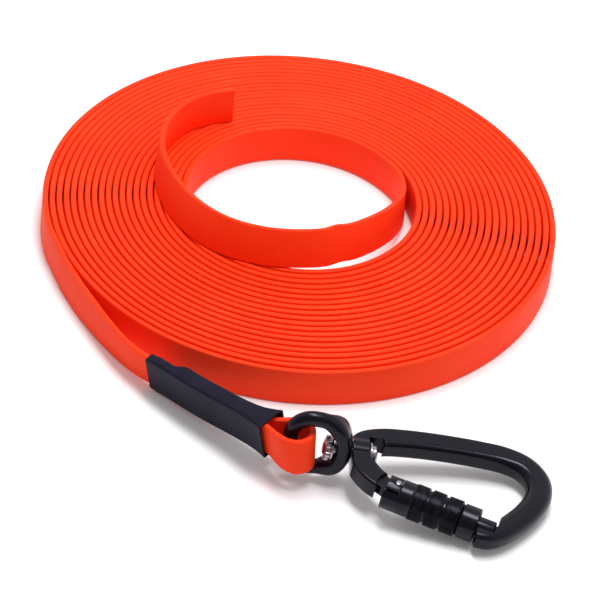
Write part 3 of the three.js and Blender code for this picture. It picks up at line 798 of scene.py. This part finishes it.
def thread_material():
    made = material("waxed_thread", {"Roughness": 0.7})
    ply = texture(made, "ShaderNodeTexWave", 900.0, 2.0)
    ramp(made, ply, "Base Color", (0.2, (0.6, 0.07, 0.015)), (0.8, (0.9, 0.16, 0.04)))
    bump(made, ply, 0.5, 0.0002)
    return made


ORANGE = strap_material()
SHRINK = shrink_material()
BLACK = anodised_material()
STEEL = steel_material()
THREAD = thread_material()

STRAP_NODES = ["strap_coil", "strap_inner_tail", "strap_outer_tail", "strap_fold"]
# Each row is a piece, the body it rides, its material, its slot and the CAD nodes it replaces.
PIECES = [
    (strap, "strap", ORANGE, "orange_strap", STRAP_NODES),
    (tube, "strap", SHRINK, "heat_shrink", ["heat_shrink_tube"]),
    (eye, "eye", BLACK, "black_anodised", ["swivel_eye"]),
    (eye_washer, "carabiner", STEEL, "bright_steel", ["eye_washer"]),
    (arm_washer, "carabiner", STEEL, "bright_steel", ["arm_washer"]),
    (rivet, "carabiner", STEEL, "bright_steel", ["swivel_rivet"]),
    (carabiner, "carabiner", BLACK, "black_anodised", ["carabiner_frame"]),
    (pin, "carabiner", STEEL, "bright_steel", ["hinge_pin"]),
    (gate, "gate", BLACK, "black_anodised", ["gate_body"]),
    (sleeve, "lock", BLACK, "black_anodised", ["lock_sleeve"]),
]
for piece, body, finish, slot, nodes_replaced in PIECES:
    piece.data.materials.clear()
    piece.data.materials.append(finish)
    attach(piece, body)
    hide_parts(*nodes_replaced)

for name in ("seam_lower", "seam_upper"):
    frame["nodes"][name].material_slots[0].material = THREAD
for name in ("gate_plunger", "gate_spring", "guide_pin", "retaining_ring", "lock_spring"):
    frame["nodes"][name].material_slots[0].material = STEEL


# ------------------------------------------------------------------ floor and light
FLOOR_HALF = 6.0
FLOOR_DROP = 0.0002  # metres below the part, so that the two don't share a plane
LIGHT_AT = (0.08, 0.05, 1.6)
LIGHT_SIZE = (1.0, 0.4)
LIGHT_POWER = 20.0
LIGHT_COLOUR = (1.0, 0.99, 1.0)
SKY_COLOUR = (0.98, 0.985, 1.0, 1.0)
SKY_WAY = (0.34, 0.94, 0.0)  # towards the brighter side of the studio
SKY_SPAN = (-0.95, 0.35)  # along SKY_WAY, from the darkest to the brightest
SKY_STRENGTH = (0.22, 0.86)


def add_floor():
    corners = [(-1, -1), (1, -1), (1, 1), (-1, 1)]
    mesh = bpy.data.meshes.new("floor")
    mesh.from_pydata([(x * FLOOR_HALF, y * FLOOR_HALF, 0) for x, y in corners], [], [(0, 1, 2, 3)])
    floor = bpy.data.objects.new("floor", mesh)
    bpy.context.collection.objects.link(floor)
    # The floor's faint emission is painted light: it glows though it is no lamp, lifts the shadows
    # cast on the floor and lights the part a little from below.
    mesh.materials.append(material("floor_white", {
        "Base Color": (0.93, 0.93, 0.935, 1.0), "Roughness": 0.7,
        "Emission Color": (1.0, 1.0, 1.0, 1.0), "Emission Strength": 0.06}))
    floor.location.z = -FLOOR_DROP


def add_light():
    """A soft light overhead, aimed at the middle of the part."""
    data = bpy.data.lights.new("top", "AREA")
    data.shape = "RECTANGLE"
    data.size, data.size_y = LIGHT_SIZE
    data.energy = LIGHT_POWER
    data.color = LIGHT_COLOUR
    light = bpy.data.objects.new("top", data)
    bpy.context.collection.objects.link(light)
    light.location = LIGHT_AT
    light.rotation_euler = (-Vector(LIGHT_AT)).to_track_quat("-Z", "Y").to_euler()


def add_world():
    """A pale studio, darker towards the camera's side and to its left."""
    world = bpy.data.worlds.new("studio")
    bpy.context.scene.world = world
    world.use_nodes = True
    nodes, links = world.node_tree.nodes, world.node_tree.links
    coords = nodes.new("ShaderNodeTexCoord")
    along = nodes.new("ShaderNodeVectorMath")
    along.operation = "DOT_PRODUCT"
    along.inputs[1].default_value = SKY_WAY
    spread = nodes.new("ShaderNodeMapRange")
    spread.interpolation_type = "SMOOTHSTEP"
    spread.inputs["From Min"].default_value, spread.inputs["From Max"].default_value = SKY_SPAN
    spread.inputs["To Min"].default_value, spread.inputs["To Max"].default_value = SKY_STRENGTH
    background = nodes["Background"]
    background.inputs["Color"].default_value = SKY_COLOUR
    links.new(coords.outputs["Generated"], along.inputs[0])
    links.new(along.outputs["Value"], spread.inputs["Value"])
    links.new(spread.outputs["Result"], background.inputs["Strength"])


add_floor()
add_light()
add_world()
bpy.context.scene.view_settings.view_transform = "Standard"  # keeps the orange saturated
